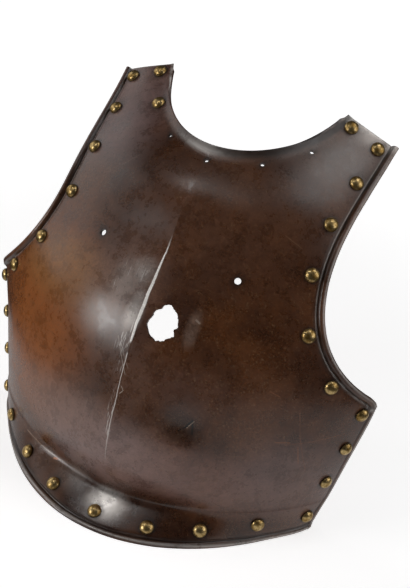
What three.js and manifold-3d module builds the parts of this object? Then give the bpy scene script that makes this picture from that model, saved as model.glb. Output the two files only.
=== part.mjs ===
// A cuirass breastplate: one forged steel plate with a ridge down its middle, a flared flange
// at the waist, turned edges, and a border of brass dome rivets. It stands on its hem and
// leans back a little. Lengths are in millimetres. The plate is drawn as worn, with x to the
// wearer's left, y to the back and z up, and is then leaned back so that its hem lies on the floor.
import * as THREE from 'three';
import { mergeVertices } from 'three/addons/utils/BufferGeometryUtils.js';
import Module from 'manifold-3d';

const wasm = await Module();
wasm.setup();

// Steel
const wall = 2.5;
const lean = 0.286;

// Level sections of the chest: how far it stands forward, half its width, and how far each
// side's centre is moved across the middle, which makes the ridge
const sections = [
  { height: -40, depth: 74, halfWidth: 158, ridge: 17 },
  { height: 20, depth: 120, halfWidth: 166.5, ridge: 21 },
  { height: 80, depth: 133, halfWidth: 183, ridge: 22 },
  { height: 140, depth: 134, halfWidth: 201, ridge: 21 },
  { height: 200, depth: 115, halfWidth: 198, ridge: 19 },
  { height: 260, depth: 96, halfWidth: 162, ridge: 13 },
  { height: 340, depth: 23, halfWidth: 124, ridge: 4 },
];
const fullness = 0.62;

// Outline of one half, seen from the front
const neck = { bottom: 285, radius: 90 };
const shoulderInner = { x: 82.6, z: 341 };
const shoulderOuter = { x: 129, z: 325 };
const armhole = { upper: { x: 121, z: 241 }, lower: { x: 105, z: 168 } };
const armpit = { x: 186.5, z: 126, round: 7 };
const waist = { x: 160.3, z: -8.6, depth: 4 };

// Flange: the hem's forward reach and fullness, and the crease where the flange leaves the chest
const hem = { depth: 122, fullness: 0.876 };
const crease = { front: -16, side: 17.5, rise: 1.58, blend: 6 };

// Edges: the armhole and the neck are turned outwards, the side and the hem carry a solid bead.
// A roll starts a little before the edge, by rollLead, so that its end face leans.
const armRoll = { width: 6.3, height: 3.6 };
const neckFlare = { width: 13, height: 4.5, fade: 1 };
const sideBead = { width: 5.5, height: 0.8 };
const hemBead = { width: 5, height: 1.6 };
const rollLead = 1.5;

// Damage: a ball hole with torn edges and the dents that were hammered in beside it
const ballHole = {
  x: 19.8,
  z: 147.2,
  edge: [
    { turn: 3, reach: 11.8 }, { turn: 19, reach: 11.3 }, { turn: 63, reach: 12.7 },
    { turn: 88, reach: 14.8 }, { turn: 108, reach: 13.9 }, { turn: 122, reach: 11.3 },
    { turn: 148, reach: 12 }, { turn: 165, reach: 10.8 }, { turn: 208, reach: 13.4 },
    { turn: 245, reach: 14.6 }, { turn: 261, reach: 15 }, { turn: 288, reach: 14.1 },
    { turn: 301, reach: 12.3 }, { turn: 328, reach: 13.1 }, { turn: 346, reach: 9.4 },
  ],
};
const dents = [
  { x: 55, z: 70, radius: 20, depth: 3 },
  { x: 20, z: 147, radius: 24, depth: 2 },
];

// Rivets and empty holes
const rivet = {
  headRadius: 6, headHeight: 4.8, shankRadius: 2, tailRadius: 3.2, tailHeight: 1.3, gap: 0.6,
};
const rivetSides = 8;
const shankHole = 2.5;
const pairedRivets = [
  { name: 'shoulder', x: 89.9, z: 331 },
  { name: 'arm_1', x: 115.5, z: 320.3 },
  { name: 'arm_2', x: 112.4, z: 290.1 },
  { name: 'arm_3', x: 108.8, z: 254.9 },
  { name: 'arm_4', x: 110.6, z: 214.6 },
  { name: 'arm_5', x: 124.2, z: 169.8 },
  { name: 'arm_6', x: 151, z: 134.1 },
  { name: 'armpit', x: 176.2, z: 113.2 },
  { name: 'side_1', x: 171, z: 77.8 },
  { name: 'side_2', x: 163.3, z: 42 },
  { name: 'waist', x: 156.6, z: 4.4 },
];
const flangeRivets = [
  { name: 'flange_3', x: 125.3, rise: 0.6 },
  { name: 'flange_2', x: 86.2, rise: 0.48 },
  { name: 'flange_1', x: 46.3, rise: 0.41 },
];
const frontRivet = { name: 'rivet_flange_front', x: 0, rise: 0.41 };
const neckRivet = { name: 'rivet_neck_right', x: -71.3, z: 305 };
const emptyHoles = [
  { x: 71.3, z: 304, radius: 1.8 },
  { x: 42, z: 284, radius: 1.7 },
  { x: -42, z: 284, radius: 1.7 },
  { x: 0, z: 274.5, radius: 1.7 },
  { x: 61.2, z: 194.8, radius: 2.7 },
  { x: -61.2, z: 194.8, radius: 2.7 },
];

// Mesh: even columns from the ridge to the border and even rows from the crease to the top,
// with closer steps, given as distances from the edge, along the border and the top
const columns = 15;
const rows = 22;
const sideSteps = [6.4, 4.2, 2.1, 0];
const topSteps = [13, 7, 3, 0];
const flangeRises = [0, 0.07, 0.16, 0.42, 0.72, 0.9];
const creaseShare = 0.015;
const leastSquareness = 0.5;
const nearEnd = 0.04;

// ---- The surface ----

function sectionAt(height) {
  const last = sections.length - 2;
  const found = sections.findIndex((row) => row.height > height) - 1;
  const index = found < 0 ? (height < 0 ? 0 : last) : Math.min(found, last);
  const low = sections[index];
  const high = sections[index + 1];
  const before = sections[Math.max(index - 1, 0)];
  const after = sections[Math.min(index + 2, last + 1)];
  const span = high.height - low.height;
  const t = THREE.MathUtils.clamp((height - low.height) / span, 0, 1);
  const blendColumn = (key) => {
    const slopeLow = (high[key] - before[key]) / (high.height - before.height);
    const slopeHigh = (after[key] - low[key]) / (after.height - low.height);
    const fromLow = (2 * t ** 3 - 3 * t ** 2 + 1) * low[key] + (t ** 3 - 2 * t ** 2 + t) * span * slopeLow;
    const fromHigh = (3 * t ** 2 - 2 * t ** 3) * high[key] + (t ** 3 - t ** 2) * span * slopeHigh;
    return fromLow + fromHigh;
  };
  return {
    depth: blendColumn('depth'),
    halfWidth: blendColumn('halfWidth'),
    ridge: blendColumn('ridge'),
  };
}

// The turn round a section, 0 at its own centre and a quarter turn at its widest
function turnAt(x, z) {
  const { halfWidth, ridge } = sectionAt(z);
  return Math.asin(Math.min((x + ridge) / (halfWidth + ridge), 0.9995));
}

function widthAt(turn, z) {
  const { halfWidth, ridge } = sectionAt(z);
  return (halfWidth + ridge) * Math.sin(turn) - ridge;
}

function chestDepth(x, z) {
  const { depth, halfWidth, ridge } = sectionAt(z);
  const reach = halfWidth + ridge;
  const across = Math.max(1 - ((x + ridge) / reach) ** 2, 0);
  const middle = 1 - (ridge / reach) ** 2;
  return depth * (across / middle) ** fullness;
}

function hemDepth(x) {
  const across = Math.max(1 - (x / waist.x) ** 2, 0);
  return waist.depth + (hem.depth - waist.depth) * across ** hem.fullness;
}

function hemPlane(depth) {
  return waist.z - (depth - waist.depth) * Math.tan(lean);
}

function creaseHeight(x) {
  return crease.front + (crease.side - crease.front) * (x / waist.x) ** crease.rise;
}

function flangeDepth(x, z) {
  const top = creaseHeight(x);
  const bottom = hemPlane(hemDepth(x));
  const inner = chestDepth(x, top);
  if (z > top) {
    return inner - (z - top);
  }
  return inner + (hemDepth(x) - inner) * (top - z) / (top - bottom);
}

function dentDepth(x, z) {
  let sum = 0;
  for (const dent of dents) {
    const away = Math.hypot(x - dent.x, z - dent.z) / dent.radius;
    sum += dent.depth * Math.exp(-2 * away * away);
  }
  return sum;
}

// The deeper of chest and flange, with a soft valley where they meet
function depthAt(x, z) {
  const across = Math.abs(x);
  const chest = chestDepth(across, z);
  const flange = flangeDepth(across, z);
  const near = Math.max(crease.blend - Math.abs(chest - flange), 0) / crease.blend;
  return Math.max(chest, flange) + near * near * crease.blend / 4 - dentDepth(x, z);
}

function surfacePoint(x, z) {
  return new THREE.Vector3(x, -depthAt(x, z), z);
}

function surfaceNormal(x, z) {
  const step = 0.5;
  const across = surfacePoint(x + step, z).sub(surfacePoint(x - step, z));
  const up = surfacePoint(x, z + step).sub(surfacePoint(x, z - step));
  return across.cross(up).normalize();
}

// The height at which the surface at x meets the plane of the hem
function hemHeight(x) {
  let z = hemPlane(hemDepth(x));
  for (let pass = 0; pass < 12; pass += 1) {
    z = hemPlane(depthAt(x, z));
  }
  return z;
}

// ---- The outline ----

function neckHeight(x) {
  return neck.bottom + neck.radius - Math.sqrt(neck.radius ** 2 - x ** 2);
}

function neckCurve(t) {
  const x = shoulderInner.x * t;
  const drop = neckHeight(shoulderInner.x) - shoulderInner.z;
  return { x, z: neckHeight(x) - drop * t ** 4 };
}

function armholeCurve(t) {
  const s = 1 - t;
  const mix = (key) => s ** 3 * armpit[key] + 3 * s * s * t * armhole.lower[key]
    + 3 * s * t * t * armhole.upper[key] + t ** 3 * shoulderOuter[key];
  return { x: mix('x'), z: mix('z') };
}

function lineBetween(start, end, t) {
  return { x: start.x + (end.x - start.x) * t, z: start.z + (end.z - start.z) * t };
}

function sideCurve(t) {
  return lineBetween(waist, armpit, t);
}

function hemCurve(t) {
  const x = waist.x * Math.sin(t * Math.PI / 2);
  return { x, z: hemHeight(x) };
}

function creaseCurve(t) {
  const side = sideCurve(creaseOnSide);
  const x = side.x * Math.sin(t * Math.PI / 2);
  return { x, z: creaseHeight(Math.min(x, waist.x)) };
}

// Where the crease runs out on the side edge, as a part of that edge
const creaseOnSide = (crease.side - waist.z) / (armpit.z - waist.z);

function sample(curve, count) {
  return Array.from({ length: count + 1 }, (_, index) => {
    const { x, z } = curve(index / count);
    return surfacePoint(x, z);
  });
}

function lengthOf(points) {
  let sum = 0;
  for (let index = 1; index < points.length; index += 1) {
    sum += points[index].distanceTo(points[index - 1]);
  }
  return sum;
}

// The parameter at which a line still has the given distance to go
function shareBefore(points, distance) {
  if (distance === 0) {
    return 1;
  }
  let index = points.length - 1;
  let left = distance;
  let reach = points[index].distanceTo(points[index - 1]);
  while (reach < left && index > 1) {
    left -= reach;
    index -= 1;
    reach = points[index].distanceTo(points[index - 1]);
  }
  return (index - left / reach) / (points.length - 1);
}

// Even parts of a line up to the first step from its far end, and then the steps themselves
function spaced(count, line, steps) {
  const points = sample(line, samples);
  const last = steps.map((step) => shareBefore(points, step));
  const parts = Array.from({ length: count }, (_, index) => last[0] * index / count);
  return [...parts, ...last];
}

// A corner of the outline lies on a whole line of the mesh, the given part of the way along the even ones
function cornerShare(part, lastStep) {
  return part * (1 - lastStep) / (1 - part * lastStep);
}

const samples = 60;
const shoulderLength = lengthOf(sample((t) => lineBetween(shoulderInner, shoulderOuter, t), samples));
const sideLength = lengthOf(sample(sideCurve, samples)) * (1 - creaseOnSide);
const armLength = lengthOf(sample(armholeCurve, samples));
const borderLength = sideLength + armLength;
const neckShare = cornerShare(Math.round(0.7 * columns) / columns, sideSteps[0] / shoulderLength);
const pitShare = cornerShare(Math.round(0.36 * rows) / rows, topSteps[0] / armLength);

function topCurve(s) {
  if (s <= neckShare) {
    return neckCurve(s / neckShare);
  }
  return lineBetween(shoulderInner, shoulderOuter, (s - neckShare) / (1 - neckShare));
}

function sharpBorder(t) {
  if (t <= pitShare) {
    return sideCurve(creaseOnSide + (1 - creaseOnSide) * t / pitShare);
  }
  return armholeCurve((t - pitShare) / (1 - pitShare));
}

// From the crease's end up the side, round the armpit and up the armhole
function borderCurve(t) {
  const reach = Math.min(armpit.round / borderLength, t, 1 - t);
  const [below, here, above] = [sharpBorder(t - reach), sharpBorder(t), sharpBorder(t + reach)];
  return { x: (below.x + here.x + above.x) / 3, z: (below.z + here.z + above.z) / 3 };
}

const edges = {
  neck: sample(neckCurve, samples),
  arm: sample((t) => borderCurve(pitShare + (1 - pitShare) * t), samples),
  side: [
    ...sample((t) => sideCurve(creaseOnSide * t), samples),
    ...sample((t) => borderCurve(pitShare * t), samples),
  ],
  hem: sample(hemCurve, samples),
};

function distanceTo(points, point) {
  let nearest = Infinity;
  const segment = new THREE.Line3();
  const foot = new THREE.Vector3();
  for (let index = 1; index < points.length; index += 1) {
    segment.set(points[index - 1], points[index]);
    segment.closestPointToPoint(point, true, foot);
    nearest = Math.min(nearest, foot.distanceTo(point));
  }
  return nearest;
}

// ---- Turned edges ----

function rollHeight(distance, { width, height }) {
  return distance < width ? height * Math.sin(Math.PI * (distance + rollLead) / (width + rollLead)) : 0;
}

function flareHeight(distance, { width, height }) {
  return distance < width ? height * (1 - distance / width) ** 2 : 0;
}

// The neck is turned out most at the throat and hardly at the shoulders
function neckFade(x) {
  return 1 - neckFlare.fade * Math.min(x / shoulderInner.x, 1) ** 2;
}

// How far the whole wall is bent out, and how much thicker its outer face is
function edgeShape({ x, y, z }) {
  const onHalf = new THREE.Vector3(Math.abs(x), y, z);
  const bend = rollHeight(distanceTo(edges.arm, onHalf), armRoll)
    + flareHeight(distanceTo(edges.neck, onHalf), neckFlare) * neckFade(onHalf.x);
  const bead = Math.max(
    rollHeight(distanceTo(edges.side, onHalf), sideBead),
    rollHeight(distanceTo(edges.hem, onHalf), hemBead),
  );
  return { bend, bead };
}

// ---- The plate's mesh ----

function ridgeCurve(t) {
  return { x: 0, z: crease.front + (neck.bottom - crease.front) * t };
}

// Points are blended as turn and height, so that the steep sides get as many faces as the front
function asTurn({ x, z }) {
  return [turnAt(x, z), z];
}

function chestBlend(s, t) {
  const [bottom, top] = [creaseCurve(s), topCurve(s)].map(asTurn);
  const [left, right] = [ridgeCurve(t), borderCurve(t)].map(asTurn);
  const corners = [creaseCurve(0), creaseCurve(1), topCurve(0), topCurve(1)].map(asTurn);
  const blend = (axis) => (1 - t) * bottom[axis] + t * top[axis]
    + (1 - s) * left[axis] + s * right[axis]
    - (1 - s) * (1 - t) * corners[0][axis] - s * (1 - t) * corners[1][axis]
    - (1 - s) * t * corners[2][axis] - s * t * corners[3][axis];
  const z = blend(1);
  return { x: s === 0 ? 0 : widthAt(blend(0), z), z };
}

function flangeBlend(s, t) {
  const [bottom, top] = [hemCurve(s), creaseCurve(s)].map(asTurn);
  const z = bottom[1] + (top[1] - bottom[1]) * t;
  return { x: s === 0 ? 0 : widthAt(bottom[0] + (top[0] - bottom[0]) * t, z), z };
}

// How squarely the row at t runs out to the border
function squareness(t) {
  const places = [
    chestBlend(1 - nearEnd, t), chestBlend(1, t),
    borderCurve(Math.max(t - nearEnd, 0)), borderCurve(Math.min(t + nearEnd, 1)),
  ];
  const [inside, end, behind, ahead] = places.map(({ x, z }) => surfacePoint(x, z));
  return Math.max(Math.sin(end.sub(inside).angleTo(ahead.sub(behind))), leastSquareness);
}

function chestGrid() {
  const lastColumn = columns + sideSteps.length - 1;
  const heights = Array.from({ length: lastColumn + 1 }, (_, column) => {
    const s = column / lastColumn;
    return [creaseShare, ...spaced(rows, (t) => chestBlend(s, t), topSteps).slice(1)];
  });
  return heights[0].map((_, row) => {
    const t = heights[lastColumn][row];
    const steps = sideSteps.map((step) => step / squareness(t));
    const across = spaced(columns, (s) => chestBlend(s, t), steps);
    return across.map((s, column) => chestBlend(s, heights[column][row]));
  });
}

function flangeGrid() {
  return [...flangeRises, 1].map((rise) => {
    const across = spaced(columns, (s) => flangeBlend(s, rise), sideSteps);
    return across.map((s) => flangeBlend(s, rise));
  });
}

// From the plate as worn to the plate on the floor
function stand(point) {
  const fromHem = new THREE.Vector3(point.x, point.y + waist.depth, point.z - waist.z);
  return fromHem.applyAxisAngle(new THREE.Vector3(1, 0, 0), -lean);
}

function wallPoints({ x, z }, onFloor) {
  const point = surfacePoint(x, z);
  const normal = surfaceNormal(x, z);
  if (x === 0) {
    normal.setX(0).normalize();
  }
  const { bend, bead } = edgeShape(point);
  const outer = stand(point.clone().addScaledVector(normal, bend + bead));
  const inner = stand(point.clone().addScaledVector(normal, bend - wall));
  // The hem is ground flat where it stands
  outer.setZ(onFloor ? 0 : Math.max(outer.z, 0));
  inner.setZ(onFloor ? 0 : Math.max(inner.z, 0));
  return { outer, inner };
}

function solidFrom(geometry) {
  const merged = mergeVertices(geometry, 1e-4);
  return new wasm.Manifold(new wasm.Mesh({
    numProp: 3,
    vertProperties: new Float32Array(merged.attributes.position.array),
    triVerts: new Uint32Array(merged.index.array),
  }));
}

// One half of the plate as a list of corners, three to a face. The side is 1 for the wearer's
// left and -1 for the right, whose faces run the other way round.
function halfCorners(places, side) {
  const wallLine = (line, row) => line.map(({ x, z }) => wallPoints({ x: side * x, z }, row === 0));
  const grid = places.map(wallLine);
  const top = grid.length - 1;
  const right = grid[0].length - 1;
  const corners = [];
  const quad = (a, b, c, d) => {
    corners.push(...(side > 0 ? [a, b, c, a, c, d] : [a, c, b, a, d, c]));
  };
  for (let row = 0; row < top; row += 1) {
    const [line, next] = [grid[row], grid[row + 1]];
    for (let column = 0; column < right; column += 1) {
      quad(line[column].outer, line[column + 1].outer, next[column + 1].outer, next[column].outer);
      quad(line[column].inner, next[column].inner, next[column + 1].inner, line[column + 1].inner);
    }
    quad(line[right].outer, line[right].inner, next[right].inner, next[right].outer);
  }
  for (let column = 0; column < right; column += 1) {
    const [near, far] = [grid[0][column], grid[0][column + 1]];
    quad(near.outer, near.inner, far.inner, far.outer);
    const [start, end] = [grid[top][column], grid[top][column + 1]];
    quad(start.outer, end.outer, end.inner, start.inner);
  }
  return corners;
}

function plateSolid() {
  const places = [...flangeGrid(), ...chestGrid()];
  const corners = [...halfCorners(places, 1), ...halfCorners(places, -1)];
  return solidFrom(new THREE.BufferGeometry().setFromPoints(corners));
}

// ---- Holes ----

// Where a place on the plate is and which way it faces, once the plate stands
function seatAt({ x, z }) {
  const place = stand(surfacePoint(x, z));
  const away = stand(surfacePoint(x, z).add(surfaceNormal(x, z))).sub(place).normalize();
  const turn = new THREE.Quaternion().setFromUnitVectors(new THREE.Vector3(0, 1, 0), away);
  return { place, turn };
}

function seated(geometry, { place, turn }) {
  const bare = new THREE.BufferGeometry();
  const source = geometry.index ? geometry.toNonIndexed() : geometry;
  bare.setAttribute('position', source.attributes.position.clone());
  return bare.applyQuaternion(turn).translate(place.x, place.y, place.z);
}

function roundCutter(place, radius) {
  const cylinder = new THREE.CylinderGeometry(radius, radius, 5 * wall, rivetSides);
  return solidFrom(seated(cylinder, seatAt(place)));
}

function ballCutter() {
  const corners = ballHole.edge.map(({ turn, reach }) => {
    const angle = THREE.MathUtils.degToRad(turn);
    return new THREE.Vector2(reach * Math.cos(angle), reach * Math.sin(angle));
  });
  const depth = 16 * wall;
  const prism = new THREE.ExtrudeGeometry(new THREE.Shape(corners), { depth, bevelEnabled: false, steps: 1 });
  prism.translate(0, 0, -depth / 2);
  prism.rotateX(Math.PI / 2);
  const place = stand(surfacePoint(ballHole.x, ballHole.z));
  const turn = new THREE.Quaternion().setFromAxisAngle(new THREE.Vector3(1, 0, 0), -lean);
  return solidFrom(seated(prism, { place, turn }));
}

// ---- Rivets ----

function flangePlace({ x, rise }) {
  const bottom = hemHeight(Math.abs(x));
  return { x, z: bottom + (creaseHeight(Math.abs(x)) - bottom) * rise };
}

function rivetPlaces() {
  const both = (row, place) => [
    { name: `rivet_${row.name}_left`, x: place.x, z: place.z },
    { name: `rivet_${row.name}_right`, x: -place.x, z: place.z },
  ];
  return [
    ...pairedRivets.flatMap((row) => both(row, row)),
    ...flangeRivets.flatMap((row) => both(row, flangePlace(row))),
    { name: frontRivet.name, ...flangePlace(frontRivet) },
    neckRivet,
  ];
}

function rivetGeometry() {
  const { headRadius, headHeight, shankRadius, tailRadius, tailHeight, gap } = rivet;
  const back = -wall - gap;
  const profile = [
    [0, back - tailHeight],
    [0.85 * tailRadius, back - tailHeight],
    [tailRadius, back],
    [shankRadius, back],
    [shankRadius, gap],
    [headRadius, gap],
    [0.93 * headRadius, 0.45 * headHeight],
    [0.6 * headRadius, 0.84 * headHeight],
    [0, headHeight],
  ];
  const points = profile.map(([radius, height]) => new THREE.Vector2(radius, height));
  return new THREE.LatheGeometry(points, rivetSides);
}

// ---- The object ----

const brownedSteel = new THREE.MeshStandardMaterial({ color: 0x4b332a, roughness: 0.42, metalness: 0.8 });
const agedBrass = new THREE.MeshStandardMaterial({ color: 0x9b7c40, roughness: 0.38, metalness: 0.9 });

function breastPlate() {
  let solid = plateSolid();
  const cutters = [
    ...rivetPlaces().map((place) => roundCutter(place, shankHole)),
    ...emptyHoles.map((place) => roundCutter(place, place.radius)),
    ballCutter(),
  ];
  for (const cutter of cutters) {
    solid = solid.subtract(cutter);
  }
  const { vertProperties, triVerts } = solid.getMesh();
  const geometry = new THREE.BufferGeometry();
  geometry.setAttribute('position', new THREE.BufferAttribute(vertProperties, 3));
  geometry.setIndex(new THREE.BufferAttribute(triVerts, 1));
  geometry.computeVertexNormals();
  const mesh = new THREE.Mesh(geometry, brownedSteel);
  mesh.name = 'breast_plate';
  return mesh;
}

function rivetMeshes() {
  const geometry = rivetGeometry();
  return rivetPlaces().map((row) => {
    const { place, turn } = seatAt(row);
    const mesh = new THREE.Mesh(geometry, agedBrass);
    mesh.name = row.name;
    mesh.position.copy(place);
    mesh.quaternion.copy(turn);
    return mesh;
  });
}

const cuirass = new THREE.Group();
cuirass.add(breastPlate(), ...rivetMeshes());

// The origin is under the middle of the whole, on the floor
const box = new THREE.Box3().setFromObject(cuirass, true);
cuirass.position.y = -(box.min.y + box.max.y) / 2;

export default cuirass;
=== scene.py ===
import math

import bmesh
import bpy
from mathutils import Matrix, Vector, kdtree, noise
from mathutils.bvhtree import BVHTree


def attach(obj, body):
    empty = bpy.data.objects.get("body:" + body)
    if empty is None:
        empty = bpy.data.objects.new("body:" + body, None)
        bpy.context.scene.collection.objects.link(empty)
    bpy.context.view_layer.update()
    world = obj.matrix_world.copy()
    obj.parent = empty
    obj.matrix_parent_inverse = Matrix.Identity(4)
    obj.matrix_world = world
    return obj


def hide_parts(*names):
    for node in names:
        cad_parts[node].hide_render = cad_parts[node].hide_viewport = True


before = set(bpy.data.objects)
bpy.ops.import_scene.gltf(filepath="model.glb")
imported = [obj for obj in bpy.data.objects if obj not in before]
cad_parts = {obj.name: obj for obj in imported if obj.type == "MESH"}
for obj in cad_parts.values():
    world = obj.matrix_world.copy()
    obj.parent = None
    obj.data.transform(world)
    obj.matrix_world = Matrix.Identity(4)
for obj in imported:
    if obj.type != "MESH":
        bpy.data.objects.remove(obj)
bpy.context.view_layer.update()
mm = 0.001
joinWithin = 1e-4               # millimetres: points closer than this are one


# a colour given in sRGB hex, made linear
def linearColour(code):
    channels = [int(code[i:i + 2], 16) / 255 for i in (1, 3, 5)]
    return [c / 12.92 if c <= 0.04045 else ((c + 0.055) / 1.055) ** 2.4 for c in channels] + [1.0]


# adds one node with its settings and links, and gives back one of its outputs
def addNode(tree, kind, inputs=(), output=0, **settings):
    node = tree.nodes.new("ShaderNode" + kind)
    for name, value in settings.items():
        setattr(node, name, value)
    for key, value in inputs.items() if isinstance(inputs, dict) else enumerate(inputs):
        if isinstance(value, bpy.types.NodeSocket):
            tree.links.new(value, node.inputs[key])
        else:
            node.inputs[key].default_value = value
    return node.outputs[output]


# settings that many nodes share
smooth = {"interpolation_type": "SMOOTHSTEP"}
inColour = {"data_type": "RGBA"}


def newMaterial(name):
    material = bpy.data.materials.new(name)
    material.use_nodes = True
    tree = material.node_tree
    return material, tree, tree.nodes["Principled BSDF"]


def objectFrom(bm, name, material):
    mesh = bpy.data.meshes.new(name)
    bm.to_mesh(mesh)
    bm.free()
    piece = bpy.data.objects.new(name, mesh)
    bpy.context.scene.collection.objects.link(piece)
    if material:
        mesh.materials.append(material)
    return piece


def clamp(value, low=0.0, high=1.0):
    return min(max(value, low), high)


def smoothStep(low, high, value):
    t = clamp((value - low) / (high - low))
    return t * t * (3 - 2 * t)


# the plate is drawn in millimetres as worn, with x to the wearer's left, y to the back and z up
plate = {
    "wall": 2.5,
    "lean": 0.286,              # how far it leans back when it stands on its hem, in radians
    "fullness": 0.62,           # how square the level sections are: 0.5 is an ellipse, and less is squarer
    "sharpAngle": 0.7,          # edges sharper than this are shaded as edges, in radians
    "neckBottom": 285, "neckRadius": 90,
    "shoulderInner": (82.6, 341), "shoulderOuter": (129, 325),
    "armUpper": (121, 241), "armLower": (105, 168),
    "armpit": (186.5, 126), "armpitRound": 7,
    "waist": (160.3, -8.6), "waistDepth": 4,
    "hemDepth": 122, "hemFullness": 0.876,
    "creaseFront": -16, "creaseSide": 17.5, "creaseRise": 1.58, "creaseBlend": 6,
}

# level sections of the chest: height, depth, half width, shift of each side's centre that makes the ridge
chestSections = [
    (-40, 74, 158, 17),
    (20, 120, 166.5, 21),
    (80, 133, 183, 22),
    (140, 134, 201, 21),
    (200, 115, 198, 19),
    (260, 96, 162, 13),
    (340, 23, 124, 4),
]


# depth, half width and ridge shift at a height, on smooth curves through the sections
def sectionAt(height):
    last = len(chestSections) - 2
    index = 0
    while index < last and chestSections[index + 1][0] <= height:
        index += 1
    low, high = chestSections[index], chestSections[index + 1]
    before, after = chestSections[max(index - 1, 0)], chestSections[min(index + 2, last + 1)]
    span = high[0] - low[0]
    t = clamp((height - low[0]) / span)
    values = []
    for key in (1, 2, 3):
        slopeLow = (high[key] - before[key]) / (high[0] - before[0])
        slopeHigh = (after[key] - low[key]) / (after[0] - low[0])
        fromLow = (2 * t ** 3 - 3 * t ** 2 + 1) * low[key] + (t ** 3 - 2 * t ** 2 + t) * span * slopeLow
        fromHigh = (3 * t ** 2 - 2 * t ** 3) * high[key] + (t ** 3 - t ** 2) * span * slopeHigh
        values.append(fromLow + fromHigh)
    return values


widestShare = 0.9995            # keeps places short of the section's end, where the surface runs straight back


# a place's turn round its level section, in radians, and the x that belongs to a turn
def turnAt(x, z):
    halfWidth, ridge = sectionAt(z)[1:]
    return math.asin(min((x + ridge) / (halfWidth + ridge), widestShare))


def widthAt(turn, z):
    halfWidth, ridge = sectionAt(z)[1:]
    return (halfWidth + ridge) * math.sin(turn) - ridge


def chestDepth(x, z):
    depth, halfWidth, ridge = sectionAt(z)
    reach = halfWidth + ridge
    across = max(1 - ((x + ridge) / reach) ** 2, 0)
    middle = 1 - (ridge / reach) ** 2
    return depth * (across / middle) ** plate["fullness"]


def hemDepth(x):
    across = max(1 - (x / plate["waist"][0]) ** 2, 0)
    return plate["waistDepth"] + (plate["hemDepth"] - plate["waistDepth"]) * across ** plate["hemFullness"]


# the height at which the floor cuts the plate, at a depth
def hemPlane(depth):
    return plate["waist"][1] - (depth - plate["waistDepth"]) * math.tan(plate["lean"])


def creaseHeight(x):
    rise = plate["creaseSide"] - plate["creaseFront"]
    return plate["creaseFront"] + rise * (x / plate["waist"][0]) ** plate["creaseRise"]


def flangeDepth(x, z):
    top = creaseHeight(x)
    bottom = hemPlane(hemDepth(x))
    inner = chestDepth(x, top)
    if z > top:
        return inner - (z - top)
    return inner + (hemDepth(x) - inner) * (top - z) / (top - bottom)


# the deeper of chest and flange, with a soft valley where they meet
def depthAt(x, z):
    across = abs(x)
    chest = chestDepth(across, z)
    flange = flangeDepth(across, z)
    near = max(plate["creaseBlend"] - abs(chest - flange), 0) / plate["creaseBlend"]
    return max(chest, flange) + near * near * plate["creaseBlend"] / 4


def surfacePoint(x, z):
    return Vector((x, -depthAt(x, z), z))


def surfaceNormal(x, z, step=0.5):
    along = surfacePoint(x + step, z) - surfacePoint(x - step, z)
    up = surfacePoint(x, z + step) - surfacePoint(x, z - step)
    return along.cross(up).normalized()


# from the plate as worn to the plate standing on its hem
def stand(point):
    moved = Vector((point.x, point.y + plate["waistDepth"], point.z - plate["waist"][1]))
    return Matrix.Rotation(-plate["lean"], 3, "X") @ moved


def mixPoints(a, b, t):
    return (a[0] + (b[0] - a[0]) * t, a[1] + (b[1] - a[1]) * t)


hemRounds = 12                  # rounds in which the hem's height settles on the floor


def hemHeight(x):
    z = hemPlane(hemDepth(x))
    for step in range(hemRounds):
        z = hemPlane(depthAt(x, z))
    return z


def neckHeight(x):
    return plate["neckBottom"] + plate["neckRadius"] - math.sqrt(plate["neckRadius"] ** 2 - x ** 2)


def neckCurve(t):
    corner = plate["shoulderInner"]
    x = corner[0] * t
    return (x, neckHeight(x) - (neckHeight(corner[0]) - corner[1]) * t ** 4)


def armholeCurve(t):
    s = 1 - t
    a, b, c, d = plate["armpit"], plate["armLower"], plate["armUpper"], plate["shoulderOuter"]
    return tuple(s ** 3 * a[i] + 3 * s * s * t * b[i] + 3 * s * t * t * c[i] + t ** 3 * d[i] for i in (0, 1))


def sideCurve(t):
    return mixPoints(plate["waist"], plate["armpit"], t)


def hemCurve(t):
    x = plate["waist"][0] * math.sin(t * math.pi / 2)
    return (x, hemHeight(x))


creaseOnSide = (plate["creaseSide"] - plate["waist"][1]) / (plate["armpit"][1] - plate["waist"][1])


def creaseCurve(t):
    x = sideCurve(creaseOnSide)[0] * math.sin(t * math.pi / 2)
    return (x, creaseHeight(min(x, plate["waist"][0])))


def sampleLine(curve, count):
    return [surfacePoint(*curve(i / count)) for i in range(count + 1)]


def lengthOf(points):
    return sum((b - a).length for a, b in zip(points, points[1:]))


# the grid of one half follows the outline
grid = {
    "columns": 60, "rows": 96, "flangeRows": 9,          # even steps between the close ones
    "closeShares": [0, 0.003, 0.007, 0.013, 0.022],      # beside the ridge and the crease
    "samples": 60,
    "squareLeast": 0.5, "squareReach": 0.04,             # for rows that meet the border at a slant
}

# outline steps, as distances from the edge: round the roll, over its groove and across the flat strip
rollRadius = 2.9
rollSteps = [rollRadius * (1 - math.cos(math.radians(a))) for a in range(0, 181, 15)]
sideSteps = rollSteps + [6.1, 6.5, 7.1, 8, 9, 9.6, 10, 10.4, 11, 12.4, 14.5]
topSteps = [0, 0.12, 0.4, 0.85, 1.4, 2.2, 3.3, 4.8, 6.6, 8.8, 11.4, 14.5]
hemSteps = [0, 0.15, 0.45, 0.9, 1.5, 2.3, 3.1, 3.9, 4.5, 4.9, 5.2, 5.6, 6.1, 6.6, 7, 7.5, 8.6]


# the parameter at which a line still has the given distance to go
def shareBefore(points, distance):
    if distance == 0:
        return 1
    index = len(points) - 1
    left = distance
    reach = (points[index] - points[index - 1]).length
    while reach < left and index > 1:
        left -= reach
        index -= 1
        reach = (points[index] - points[index - 1]).length
    return (index - left / reach) / (len(points) - 1)


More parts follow.
